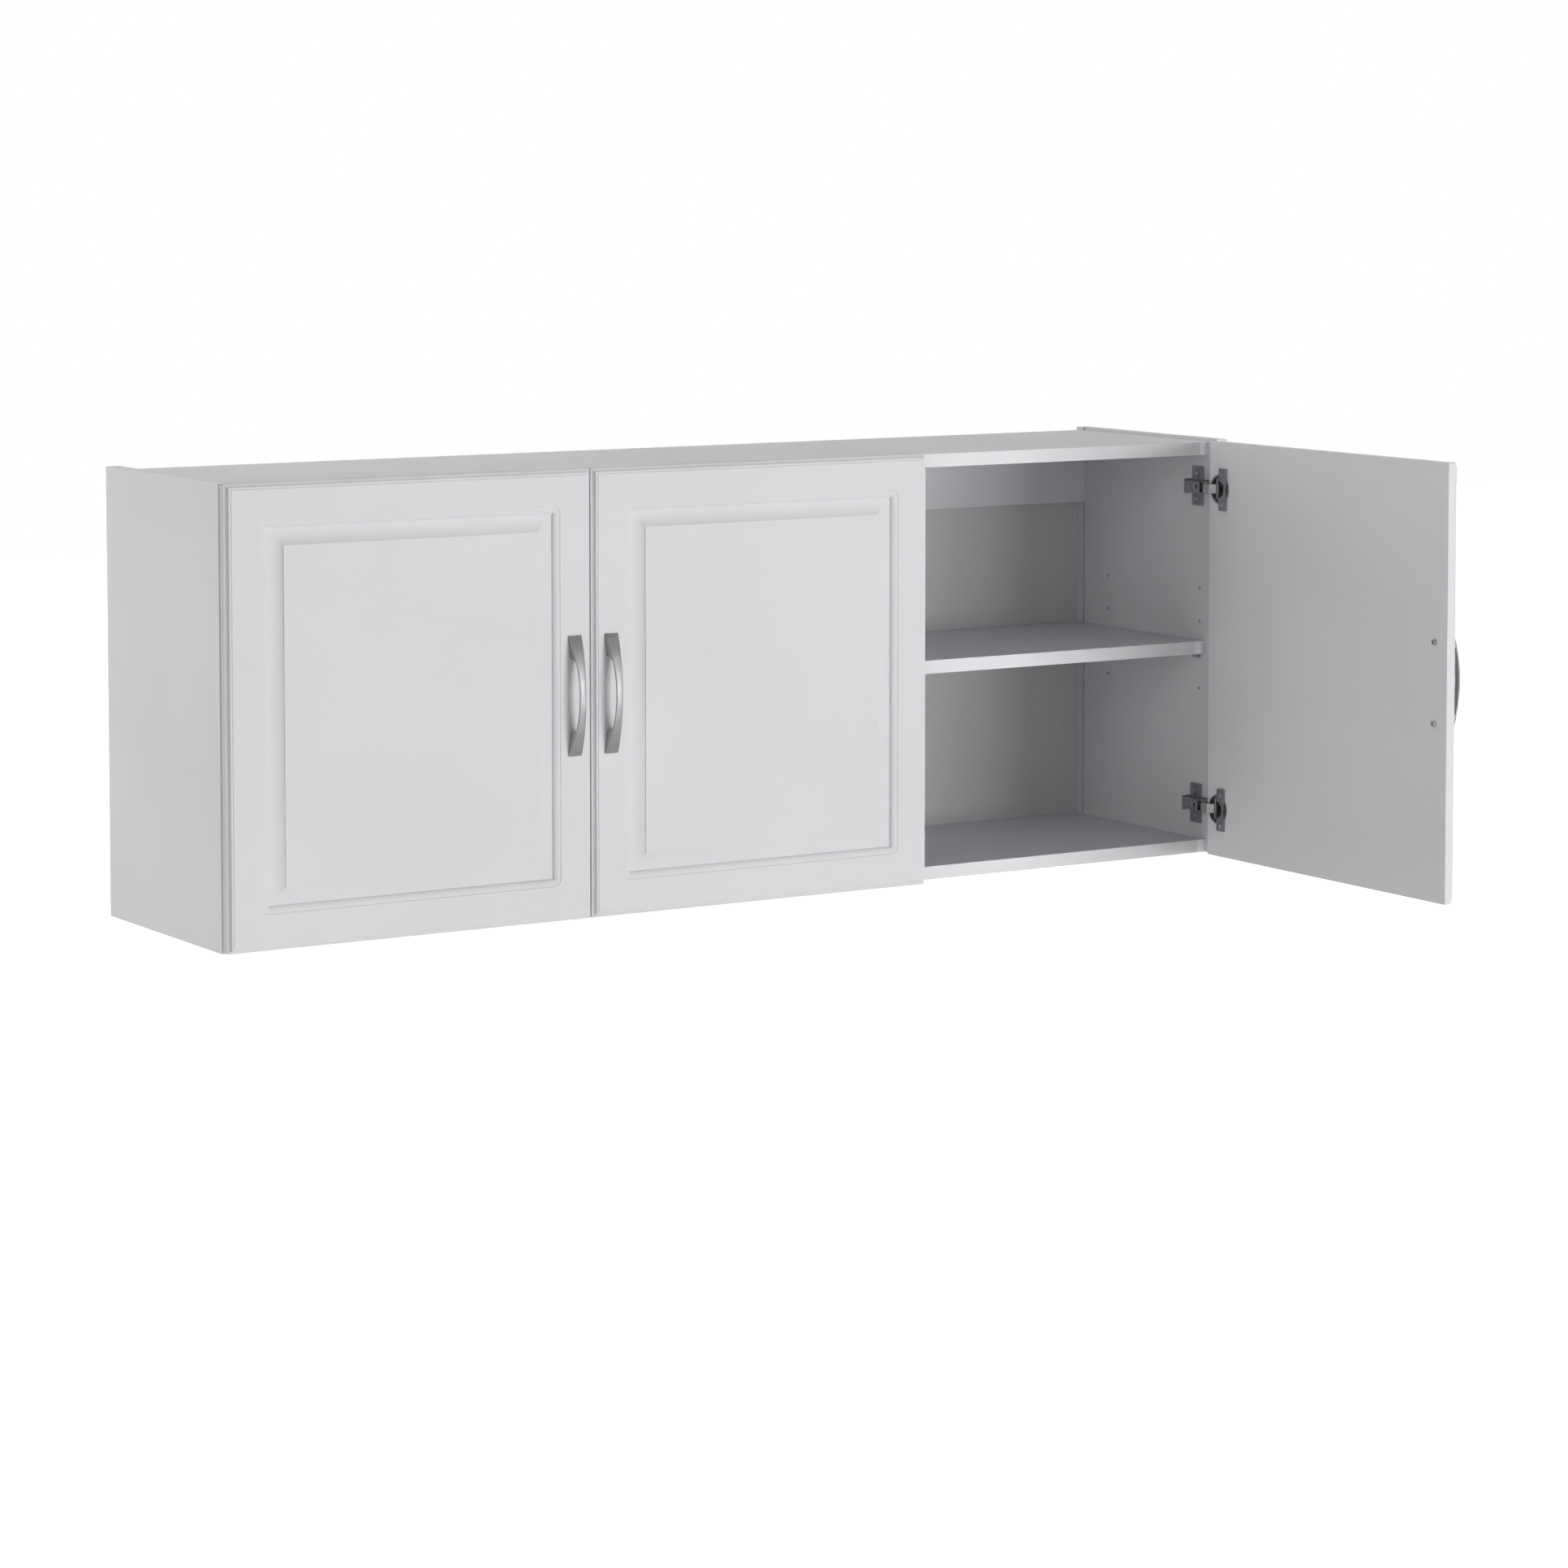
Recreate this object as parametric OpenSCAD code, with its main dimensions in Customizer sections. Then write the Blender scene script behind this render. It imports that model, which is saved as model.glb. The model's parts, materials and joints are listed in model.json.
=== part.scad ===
// Hanging wall cabinet with three moulded doors, a double bay on the left and a single bay on the right.
// X runs to the right, +Y into the wall and +Z up. The origin is the centre of the back, on the wall.
// The left and middle doors are drawn closed and the right door is drawn open at a right angle.

/* [Carcass] */
// Overall width across the side panels
cabinet_w = 1380; // [1140:10:1660]
// Height of the side panels
cabinet_h = 520; // [430:10:640]
// Depth of the side panels, without the doors
carcass_d = 300; // [250:5:360]
// Thickness of the boards
board_t = 16; // [15:0.5:19]
// How far the top and bottom panels sit behind the side panels' front edges
front_setback = 18; // [12:1:24]
// How far the side panels stand above the top panel
top_lip = 4; // [2:0.5:8]
// Thickness of the back panels
back_t = 3; // [2.5:0.5:4]
// Gap between a back panel and the side panel beside it
back_gap = 0.3; // [0.2:0.1:1.5]
// Height of the hanging rails
rail_h = 76; // [64:2:92]

/* [Shelves] */
// Height of the shelves' middle above the cabinet's middle
shelf_z = -2; // [-40:1:40]
// How far the shelves sit behind the side panels' front edges
shelf_setback = 22; // [18:1:30]
// Step between the shelf positions
pin_step = 42; // [32:1:44]

/* [Doors] */
// Thickness of the doors
door_t = 16; // [15:0.5:19]
// Gap between two doors
door_gap = 2; // [1.5:0.25:4]
// How far the doors sit inside the cabinet's outline
door_inset = 1; // [0.5:0.25:2]
// Gap between a closed door and the carcass
front_gap = 1.2; // [1:0.1:2.5]
// Width of the flat frame around a door's moulding
frame_w = 41; // [34:1:50]
// Depth of the moulding
mould_depth = 4.8; // [3:0.2:6]

/* [Handles] */
// Distance between a handle's two screws
handle_pitch = 96; // [88:2:116]
// Distance from a handle's middle to the door's free edge
handle_inset = 23; // [18:1:30]
// How far a handle stands out of the door
handle_proud = 21; // [18:0.5:27]

/* [Hinges] */
// Distance from a hinge's middle to the door's end
hinge_end = 59; // [48:1:72]
// Distance from the cup's middle to the door's hinge edge
cup_inset = 21; // [20.5:0.25:22]
// Distance from the side panel's inner face to the inner face of the open door
open_standoff = 14; // [12.5:0.5:16]

/* [Hidden] */

$fn = 40;
eps = 0.02;

// Names of the three doors' places
LEFT = 0;
MIDDLE = 1;
RIGHT = 2;

// Carcass
side_in = cabinet_w/2 - board_t;
side_z = cabinet_h/2;
top_z = side_z - top_lip - board_t;
bottom_z = -side_z + board_t;
panel_back = -back_t;
bay_h = top_z - bottom_z;

// Doors
door_w = (cabinet_w - 2*door_inset - 2*door_gap)/3;
door_h = cabinet_h - 2*door_inset;
middle_edge = cabinet_w/2 - door_inset - door_w - door_gap;
partition_x = middle_edge + door_gap/2;
partition_left = partition_x - board_t/2;
partition_right = partition_x + board_t/2;
overlay = board_t - door_inset;

// Cabinet joints
pin_r = 2.5;
pin_hole_l = 7.5;
pin_front_y = -carcass_d + 34;
pin_rear_y = -72;
cam_r = 7.5;
cam_depth = 12.5;
cam_offset = 34;
bolt_r = 2.5;
bolt_in = 10;
bolt_head_r = 3.5;
bolt_out = 28;
dowel_r = 4;
dowel_in = 12;
dowel_out = 18;
wall_hole_r = 3;
wall_hole_z = top_z - rail_h/2;
wall_hole_x = [-side_in + 64, partition_right + 52];
groove_w = 4;
groove_depth = 5;

// Hinge linkage, measured from the side panel's inner front corner
cup_pin_u = 10;
cup_pin_w = 4.5;
cup_pin_l = 24.8;
open_drop = 4;
link_offset = 18.8;
cup_pin_closed = [overlay - cup_pin_u, -front_gap - cup_pin_w];
cup_pin_open = [-open_standoff + cup_pin_w, -open_drop - cup_pin_u];
link_chord = cup_pin_open - cup_pin_closed;
link_normal = [link_chord[1], -link_chord[0]]/norm(link_chord);
arm_pin = (cup_pin_open + cup_pin_closed)/2 + link_offset*link_normal;
link_turn = 2*atan(norm(link_chord)/2/link_offset);

// Hinge pieces
hinge_z = door_h/2 - hinge_end;
cup_r = 17.4;
cup_depth = 12.8;
cup_wall = 0.8;
cup_bore_r = 17.5;
cup_bore_depth = 13;
flange_u = [cup_inset + 0.9, cup_inset + 14.6];
flange_t = 3;
flange_h = 52.4;
cup_screw_u = cup_inset + 7.5;
cup_screw_z = 19;
arm_w = 14.2;
cheek_t = 1;
link_w = 11.2;
hinge_pin_r = 1.2;
link_bore_r = 1.5;
link_eye_r = 2.8;
strap_t = 2;
plate_y = 37 - arm_pin[1];
plate_t = 2;
ridge_t = 1.4;
wing_w = 22;
wing_h = 49.6;
plate_screw_z = 15.5;
arm_back = 41.5;
arm_top = -3.2;
web_t = 1.2;

// Handles
handle_l = handle_pitch + 42.5;
handle_w = 17.5;
handle_waist = 7.7;
strap_h = 2.5;
handle_screw_r = 2;
foot_l = 25.5;

// ---- Shared helpers ----

// Box between two corners
module block(low, high) {
  translate(low) cube(high - low);
}

// Height of an arc above its chord's level, for an arc that peaks at `peak` and falls by `fall` at `reach`
function arc_radius(reach, fall) = (reach*reach + fall*fall)/(2*fall);
function arc_y(x, radius, peak) = peak - radius + sqrt(radius*radius - x*x);

// A door's local frame: hinge edge at x = 0, free edge at -x, inner face at y = 0, middle at z = 0
module place_door(place) {
  if (place == LEFT)
    mirror([1, 0, 0]) translate([cabinet_w/2 - door_inset, -carcass_d - front_gap, 0]) children();
  if (place == MIDDLE)
    translate([middle_edge, -carcass_d - front_gap, 0]) children();
  if (place == RIGHT)
    translate([side_in - open_standoff, -carcass_d - open_drop, 0]) rotate([0, 0, 90]) children();
}

// An arm's local frame: the arm's pin at the origin, the panel that carries it at +x
module place_arm(place) {
  if (place == LEFT)
    mirror([1, 0, 0]) translate([side_in + arm_pin[0], -carcass_d + arm_pin[1], 0]) children();
  if (place == MIDDLE)
    translate([middle_edge - overlay + arm_pin[0], -carcass_d + arm_pin[1], 0]) children();
  if (place == RIGHT)
    translate([side_in + arm_pin[0], -carcass_d + arm_pin[1], 0]) children();
}

// A link's local frame is its arm's, drawn as it lies with the door open at a right angle
module place_link(place) {
  place_arm(place) rotate([0, 0, place == RIGHT ? 0 : link_turn]) children();
}

// Distance from the arm's pin to the panel's surface
function arm_reach(place) =
  place == MIDDLE ? partition_left - middle_edge + overlay - arm_pin[0] : -arm_pin[0];

// Both hinges of a door
module at_hinges() {
  for (z = [-hinge_z, hinge_z]) translate([0, 0, z]) children();
}

// Cylinder along y from y0 to y1
module rod_y(radius, y0, y1) {
  translate([0, y0, 0]) rotate([-90, 0, 0]) cylinder(r = radius, h = y1 - y0);
}

// Cylinder along x from x0 to x1
module rod_x(radius, x0, x1) {
  translate([x0, 0, 0]) rotate([0, 90, 0]) cylinder(r = radius, h = x1 - x0);
}

// Cross-shaped recess for a screwdriver, along +y from the origin
module driver_recess(span, depth) {
  for (turn = [0, 90])
    rotate([0, turn, 0]) translate([-span/2, 0, -0.4]) cube([span, depth, 0.8]);
}

// ---- Joints between the boards ----
// Local frame: origin on the contact face, +x into the board with the cam, the cam's mouth at -z

end_y = [-carcass_d + 60, -60];
dowel_y = [-carcass_d + 100, -100];
rail_y = panel_back - board_t/2;

module at_panel_ends(ys) {
  for (y = ys, z = [top_z + board_t/2, -side_z + board_t/2]) {
    translate([-side_in, y, z]) children();
    translate([side_in, y, z]) rotate([0, 0, 180]) children();
  }
}

module at_partition_ends(ys) {
  for (y = ys) {
    translate([partition_x, y, top_z]) rotate([180, 90, 0]) children();
    translate([partition_x, y, bottom_z]) rotate([0, -90, 0]) children();
  }
}

module at_rail_ends(drop) {
  left_z = top_z - drop;
  right_z = top_z - drop + 24;
  translate([-side_in, rail_y, left_z]) rotate([90, 0, 0]) children();
  translate([partition_left, rail_y, left_z]) rotate([-90, 0, 180]) children();
  translate([partition_right, rail_y, right_z]) rotate([90, 0, 0]) children();
  translate([side_in, rail_y, right_z]) rotate([-90, 0, 180]) children();
}

module at_cam_joints() {
  at_panel_ends(end_y) children();
  at_partition_ends(end_y) children();
  at_rail_ends(rail_h/2 + 12) children();
}

module at_dowels() {
  at_panel_ends(dowel_y) children();
  at_partition_ends(dowel_y) children();
}

module joint_holes() {
  at_cam_joints() {
    rod_x(bolt_r, -bolt_in, 0);
    rod_x(bolt_head_r, 0, cam_offset);
    translate([cam_offset, 0, -board_t/2 - eps]) cylinder(r = cam_r, h = cam_depth + eps);
  }
  at_dowels() rod_x(dowel_r, -dowel_in, dowel_out);
}

module cam_locks() {
  color("lightgray") at_cam_joints() difference() {
    translate([cam_offset, 0, -board_t/2]) cylinder(r = cam_r, h = cam_depth);
    rod_x(bolt_head_r, cam_offset - cam_r - 1, cam_offset);
    translate([cam_offset, 0, -board_t/2 - eps]) rotate([-90, 0, 0]) rotate([0, 45, 0])
      mirror([0, 1, 0]) driver_recess(9, 2);
  }
}

module cam_bolts() {
  color("silver") at_cam_joints() {
    rod_x(bolt_r, -bolt_in, bolt_out);
    rod_x(bolt_head_r - 0.2, bolt_out, bolt_out + 4);
  }
}

module wood_dowels() {
  color("burlywood") at_dowels() rod_x(dowel_r, -dowel_in, dowel_out);
}

// ---- Carcass boards ----

module pin_holes(face_x, way) {
  for (y = [pin_front_y, pin_rear_y], step = [-1:2])
    translate([face_x, y, shelf_z - board_t/2 - pin_r + step*pin_step])
      rod_x(pin_r, way > 0 ? -eps : -pin_hole_l, way > 0 ? pin_hole_l : eps);
}

module plate_screw_holes(place) {
  place_arm(place) at_hinges() for (z = [-plate_screw_z, plate_screw_z])
    translate([arm_reach(place), plate_y, z]) rod_x(1.5, -eps, 12);
}

module side_panel(place) {
  flip = place == LEFT ? 1 : 0;
  color("gainsboro") difference() {
    mirror([flip, 0, 0]) difference() {
      block([side_in, -carcass_d, -side_z], [cabinet_w/2, 0, side_z]);
      block([side_in - 1, -15 - groove_w, -side_z - 1], [side_in + groove_depth, -15, side_z + 1]);
      pin_holes(side_in, 1);
    }
    plate_screw_holes(place);
    joint_holes();
  }
}

module cross_panel(z) {
  color("gainsboro") difference() {
    block([-side_in, -carcass_d + front_setback, z], [side_in, panel_back, z + board_t]);
    joint_holes();
    back_nail_shanks();
  }
}

module partition() {
  color("gainsboro") difference() {
    block([partition_left, -carcass_d, bottom_z], [partition_right, panel_back, top_z]);
    pin_holes(partition_left, 1);
    pin_holes(partition_right, -1);
    plate_screw_holes(MIDDLE);
    joint_holes();
  }
}

module hanging_rail(x0, x1) {
  color("gainsboro") difference() {
    block([x0, panel_back - board_t, top_z - rail_h], [x1, panel_back, top_z]);
    joint_holes();
    wall_holes();
  }
}

module wall_holes() {
  for (x = wall_hole_x)
    translate([x, 0, wall_hole_z]) rod_y(wall_hole_r, panel_back - board_t - 1, 1);
}

module shelf(x0, x1) {
  end_gap = 1;
  color("gainsboro")
    block([x0 + end_gap, -carcass_d + shelf_setback, shelf_z - board_t/2],
          [x1 - end_gap, panel_back - 2, shelf_z + board_t/2]);
}

// Pegs under one shelf: in the board, a thin collar in the shelf's end gap, then the rest
module shelf_pins(x0, x1) {
  collar_t = 0.8;
  color("silver") for (y = [pin_front_y, pin_rear_y], end = [0, 1])
    translate([end == 0 ? x0 : x1, y, shelf_z - board_t/2 - pin_r]) mirror([end, 0, 0]) {
      rod_x(pin_r, -pin_hole_l, 9);
      rod_x(pin_r + 1.5, 0, collar_t);
    }
}

// ---- Back ----

nail_r = 0.9;
nail_head_r = 2.4;
nail_head_t = 0.8;
nail_l = 18;
nails_per_edge = 7;
nail_margin = 40;

module at_back_nails() {
  span = 2*(side_in - nail_margin);
  for (i = [0:nails_per_edge - 1], z = [top_z + board_t/2, -side_z + board_t/2])
    translate([-side_in + nail_margin + i*span/(nails_per_edge - 1), 0, z]) children();
}

module back_nail_shanks() {
  at_back_nails() rod_y(nail_r, -nail_l, eps);
}

module back_nails() {
  color("silver") at_back_nails() {
    rod_y(nail_r, -nail_l, -nail_head_t);
    rod_y(nail_head_r, -nail_head_t, 0);
  }
}

module back_panel(x0, x1) {
  edge = 2;
  color("gainsboro") difference() {
    block([x0, -back_t, -side_z + edge], [x1, 0, top_z + board_t - edge]);
    back_nail_shanks();
    at_back_nails() rod_y(nail_head_r, -nail_head_t, 1);
    wall_holes();
  }
}

// ---- Doors ----

// One side of a cutter that runs round the door at a distance from its edge, with mitred corners.
// The children draw the cutter's section: x is the distance from the edge, y the height off the back.
module mitred_ring() {
  for (turn = [0:3]) {
    run = turn % 2 == 0 ? door_w : door_h;
    across = turn % 2 == 0 ? door_h : door_w;
    reach = min(door_w, door_h)/2 - 1;
    translate([-door_w/2, 0, 0]) rotate([0, 90*turn, 0]) intersection() {
      translate([run/2 + 1, 0, -across/2]) rotate([0, -90, 0]) linear_extrude(run + 2)
        mirror([0, 1]) children();
      translate([0, 1, 0]) rotate([90, 0, 0]) linear_extrude(door_t + 3)
        polygon([
          [-run/2 - 1, -across/2 - 1], [run/2 + 1, -across/2 - 1],
          [run/2 - reach, -across/2 + reach], [-run/2 + reach, -across/2 + reach]
        ]);
    }
  }
}

// Section of the waste round the door's edge: a small cove, a narrow flat and a step up to the face
module edge_waste() {
  cove_r = 5;
  flat_w = 6.6;
  step_h = 0.7;
  translate([-1, door_t - step_h]) circle(r = cove_r);
  translate([-2, door_t - step_h]) square([flat_w + 2, step_h + 1]);
}

// Section of the moulding's waste: quirk, round down, narrow flat bed, long hollow rise to the centre field
module moulding_waste() {
  quirk = 0.5;
  round_w = 8;
  bed_w = 4;
  rise_w = 15;
  steps = 8;
  cove_h = mould_depth - quirk;
  x1 = frame_w + 1;
  x2 = x1 + round_w;
  x3 = x2 + bed_w;
  x4 = x3 + rise_w;
  bed_y = door_t - mould_depth;
  rise_turn = 2*atan(cove_h/rise_w);
  rise_r = rise_w/sin(rise_turn);
  polygon(concat(
    [[frame_w, door_t + 1], [frame_w, door_t - quirk], [x1, door_t - quirk]],
    [for (i = [1:steps]) let (a = 90*i/steps)
      [x1 + round_w*sin(a), door_t - quirk - cove_h*(1 - cos(a))]],
    [for (i = [0:steps]) let (a = rise_turn*i/steps)
      [x3 + rise_r*sin(a), bed_y + rise_r*(1 - cos(a))]],
    [[x4, door_t + 1]]
  ));
}

module door(place) {
  color("whitesmoke") place_door(place) difference() {
    block([-door_w, -door_t, -door_h/2], [0, 0, door_h/2]);
    mitred_ring() edge_waste();
    mitred_ring() moulding_waste();
    at_hinges() {
      translate([-cup_inset, 0, 0]) rod_y(cup_bore_r, -cup_bore_depth, 1);
      for (z = [-cup_screw_z, cup_screw_z])
        translate([-cup_screw_u, 0, z]) rod_y(1.6, -11, 1);
    }
    at_handle_screws() rod_y(handle_screw_r + 0.25, -door_t - 1, 1);
  }
}

// ---- Handles ----

module at_handle_screws() {
  for (z = [-handle_pitch/2, handle_pitch/2])
    translate([-door_w + handle_inset, 0, z]) children();
}

// Side view of the bow: x along the handle, y out of the door
module handle_side() {
  end_h = 1.2;
  half = handle_l/2;
  foot = half - foot_l;
  steps = 24;
  outer_r = arc_radius(half, handle_proud - end_h);
  inner_reach = foot - 3.5;
  inner_r = outer_r - strap_h;
  polygon(concat(
    [for (i = [-steps:steps]) [half*i/steps, arc_y(half*i/steps, outer_r, handle_proud)]],
    [[half, 0], [foot, 0]],
    [for (i = [steps:-2:-steps]) let (x = inner_reach*i/steps)
      [x, arc_y(x, inner_r, handle_proud - strap_h)]],
    [[-foot, 0], [-half, 0]]
  ));
}

// Front view of the bow: broad feet and a narrow waist
module handle_front() {
  half = handle_l/2;
  steps = 16;
  side_r = arc_radius(half, (handle_w - handle_waist)/2);
  right = [for (i = [-steps:steps]) let (z = half*i/steps)
    [handle_waist - arc_y(z, side_r, handle_waist/2), z]];
  left = [for (i = [steps:-1:-steps]) let (z = half*i/steps)
    [arc_y(z, side_r, handle_waist/2) - handle_waist, z]];
  polygon(concat(right, left));
}

module handle(place) {
  screw_depth = 8.5;
  color("darkgray") place_door(place) difference() {
    translate([-door_w + handle_inset, -door_t, 0]) intersection() {
      rotate([90, 0, 0]) linear_extrude(handle_proud + 1) handle_front();
      translate([-handle_w, 0, 0]) rotate([90, 0, 90]) linear_extrude(2*handle_w)
        rotate(90) handle_side();
    }
    at_handle_screws() rod_y(handle_screw_r, -door_t - screw_depth, 0);
  }
}

module handle_screws(place) {
  head_r = 4;
  head_t = 2.2;
  color("silver") place_door(place) at_handle_screws() difference() {
    union() {
      rod_y(handle_screw_r, -door_t - 8, 0);
      rod_y(head_r, 0, head_t);
    }
    translate([0, head_t - 1, 0]) driver_recess(4.6, 2);
  }
}

// ---- Hinges ----

// Cross-shaped plate on the panel, with a block that brings the arm to the right distance
module hinge_plates(place) {
  reach = arm_reach(place);
  color("dimgray") place_arm(place) at_hinges() difference() {
    union() {
      block([reach - plate_t, plate_y - wing_w/2, -wing_h/2], [reach, plate_y + wing_w/2, wing_h/2]);
      block([reach - plate_t, -2, -8.5], [reach, arm_back + 2, 8.5]);
      for (side = [0, 1]) mirror([0, 0, side])
        block([reach - plate_t - ridge_t, plate_y - 3, arm_w/2 + 0.2],
              [reach - plate_t, plate_y + 3, wing_h/2 - 2.6]);
      block([arm_top + 6, 6, -arm_w/2 + cheek_t], [reach - plate_t, arm_back - 1.4, arm_w/2 - cheek_t]);
    }
    for (z = [-20.5, -11, 11, 20.5]) translate([0, plate_y, z]) rod_x(1.1, reach - 5, reach + 1);
    for (z = [-plate_screw_z, plate_screw_z]) translate([0, plate_y, z]) rod_x(1.5, reach - 5, reach + 1);
    translate([0, 32, 0]) rod_x(2, arm_top, arm_top + 9);
    translate([0, 22, 0]) rod_x(1.6, arm_top, arm_top + 9);
  }
}

module plate_screws(place) {
  reach = arm_reach(place);
  color("silver") place_arm(place) at_hinges() for (z = [-plate_screw_z, plate_screw_z])
    translate([reach - plate_t - ridge_t, plate_y, z]) difference() {
      union() {
        rod_x(1.5, 0, 13);
        rod_x(2.7, -1, 0);
      }
      translate([-1 - eps, 0, 0]) rotate([0, 0, -90]) driver_recess(3.4, 0.7);
    }
}

// Channel-shaped arm: two cheeks, a web on top and a flanged rear end
module hinge_arms(place) {
  reach = arm_reach(place);
  low = reach - plate_t;
  color("dimgray") place_arm(place) at_hinges() difference() {
    union() {
      for (z = [-arm_w/2, arm_w/2 - cheek_t]) translate([0, 0, z]) linear_extrude(cheek_t) union() {
        circle(r = -arm_top);
        translate([0, arm_top]) square([low, -arm_top]);
        translate([arm_top, 0]) square([low - arm_top, arm_back]);
      }
      block([arm_top, 10, -arm_w/2], [arm_top + web_t, arm_back, arm_w/2]);
      block([arm_top, arm_back - web_t, -arm_w/2 - 1.8], [low, arm_back, arm_w/2 + 1.8]);
    }
    translate([0, 0, -arm_w]) cylinder(r = hinge_pin_r, h = 2*arm_w);
    translate([0, 32, 0]) rod_x(2, arm_top - 1, arm_top + 4);
    translate([0, 22, 0]) rod_x(1.6, arm_top - 1, arm_top + 4);
    block([arm_top - 1, 14.5, -2.2], [arm_top + 4, 18.5, 2.2]);
  }
}

module arm_screws(place) {
  color("silver") place_arm(place) at_hinges() {
    translate([arm_top, 32, 0]) difference() {
      union() {
        rod_x(2, 0, 9);
        rod_x(4, -1, 0);
      }
      translate([-1 - eps, 0, 0]) rotate([0, 0, -90]) driver_recess(4.4, 0.7);
    }
    translate([arm_top, 22, 0]) difference() {
      union() {
        rod_x(1.6, 0, 9);
        rod_x(2.7, -1, 0);
      }
      translate([-1 - eps, 0, 0]) rotate([0, 0, -90]) driver_recess(3.2, 0.7);
    }
  }
}

module arm_pins(place) {
  color("silver") place_arm(place) at_hinges()
    translate([0, 0, -arm_w/2 - 0.5]) cylinder(r = hinge_pin_r, h = arm_w + 1);
}

// Both edges of a bent strap: its path's points moved sideways, with mitred bends
function heading(from, to) = (to - from)/norm(to - from);
function left_of(way) = [-way[1], way[0]];
function strap_edge(path, half) = [
  for (i = [0:len(path) - 1]) let (
    last = len(path) - 1,
    before = left_of(heading(path[max(i - 1, 0)], path[max(i, 1)])),
    after = left_of(heading(path[min(i, last - 1)], path[min(i + 1, last)]))
  ) path[i] + half*(before + after)/(1 + before*after)
];
function reversed(list) = [for (i = [len(list) - 1:-1:0]) list[i]];

// Swan-necked link from the arm's pin round the door's rim to the pin in the cup
module hinge_links(place) {
  rim = [-open_standoff, -open_drop] - arm_pin;
  cup_pin = cup_pin_open - arm_pin;
  path = [cup_pin, rim + [0.5, -11.9], rim + [-5.1, -5.9], rim + [-5.8, 4.4], [0, 0]];
  color("lightgray") place_link(place) at_hinges() translate([0, 0, -link_w/2]) linear_extrude(link_w)
    difference() {
      union() {
        polygon(concat(strap_edge(path, strap_t/2), reversed(strap_edge(path, -strap_t/2))));
        for (eye = [cup_pin, [0, 0]]) translate(eye) circle(r = link_eye_r);
      }
      for (eye = [cup_pin, [0, 0]]) translate(eye) circle(r = link_bore_r);
    }
}

module hinge_cups(place) {
  lip_r = cup_r + 1.2;
  lip_t = 0.6;
  arch_r = 10.3;
  color("dimgray") place_door(place) at_hinges() difference() {
    union() {
      translate([-cup_inset, 0, 0]) {
        rod_y(cup_r, -cup_depth, lip_t);
        rod_y(lip_r, 0, lip_t);
      }
      block([-flange_u[1], 0, -flange_h/2], [-flange_u[0], flange_t, flange_h/2]);
    }
    translate([-cup_inset, 0, 0]) rod_y(cup_r - cup_wall, -cup_depth + cup_wall, 0);
    difference() {
      translate([-cup_inset, 0, 0]) rod_y(cup_r - cup_wall, -eps, lip_t + eps);
      block([-flange_u[1], -1, -flange_h/2], [-flange_u[0], flange_t, flange_h/2]);
    }
    translate([-cup_inset - 1, 0, 0]) rod_y(arch_r, -eps, flange_t + 1);
    translate([-cup_pin_u, -cup_pin_w, -cup_r]) cylinder(r = hinge_pin_r, h = 2*cup_r);
    for (z = [-cup_screw_z, cup_screw_z]) translate([-cup_screw_u, 0, z]) rod_y(1.6, -1, flange_t + 1);
  }
}

module cup_pins(place) {
  color("silver") place_door(place) at_hinges()
    translate([-cup_pin_u, -cup_pin_w, -cup_pin_l/2]) cylinder(r = hinge_pin_r, h = cup_pin_l);
}

module cup_screws(place) {
  color("silver") place_door(place) at_hinges() for (z = [-cup_screw_z, cup_screw_z])
    translate([-cup_screw_u, 0, z]) difference() {
      union() {
        rod_y(1.6, -10.5, flange_t);
        rod_y(3.2, flange_t, flange_t + 1.2);
      }
      translate([0, flange_t + 0.5, 0]) driver_recess(3.8, 1);
    }
}

// ---- Assembly ----

side_panel(LEFT);  // side_panel_left
side_panel(RIGHT);  // side_panel_right
cross_panel(top_z);  // top_panel
cross_panel(-side_z);  // bottom_panel
partition();
back_panel(-side_in + back_gap, partition_x - 0.5);  // back_panel_left
back_panel(partition_x + 0.5, side_in - back_gap);  // back_panel_right
back_nails();
hanging_rail(-side_in, partition_left);  // hanging_rail_left
hanging_rail(partition_right, side_in);  // hanging_rail_right
shelf(-side_in, partition_left);  // shelf_left
shelf(partition_right, side_in);  // shelf_right
shelf_pins(-side_in, partition_left);  // shelf_pins_left
shelf_pins(partition_right, side_in);  // shelf_pins_right
cam_locks();
cam_bolts();
wood_dowels();
door(LEFT);  // door_left
door(MIDDLE);  // door_middle
door(RIGHT);  // door_right
handle(LEFT);  // handle_left
handle(MIDDLE);  // handle_middle
handle(RIGHT);  // handle_right
handle_screws(LEFT);  // handle_screws_left
handle_screws(MIDDLE);  // handle_screws_middle
handle_screws(RIGHT);  // handle_screws_right
hinge_plates(LEFT);  // hinge_plates_left
hinge_plates(MIDDLE);  // hinge_plates_middle
hinge_plates(RIGHT);  // hinge_plates_right
plate_screws(LEFT);  // plate_screws_left
plate_screws(MIDDLE);  // plate_screws_middle
plate_screws(RIGHT);  // plate_screws_right
hinge_arms(LEFT);  // hinge_arms_left
hinge_arms(MIDDLE);  // hinge_arms_middle
hinge_arms(RIGHT);  // hinge_arms_right
arm_screws(LEFT);  // arm_screws_left
arm_screws(MIDDLE);  // arm_screws_middle
arm_screws(RIGHT);  // arm_screws_right
arm_pins(LEFT);  // arm_pins_left
arm_pins(MIDDLE);  // arm_pins_middle
arm_pins(RIGHT);  // arm_pins_right
hinge_links(LEFT);  // hinge_links_left
hinge_links(MIDDLE);  // hinge_links_middle
hinge_links(RIGHT);  // hinge_links_right
hinge_cups(LEFT);  // hinge_cups_left
hinge_cups(MIDDLE);  // hinge_cups_middle
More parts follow.
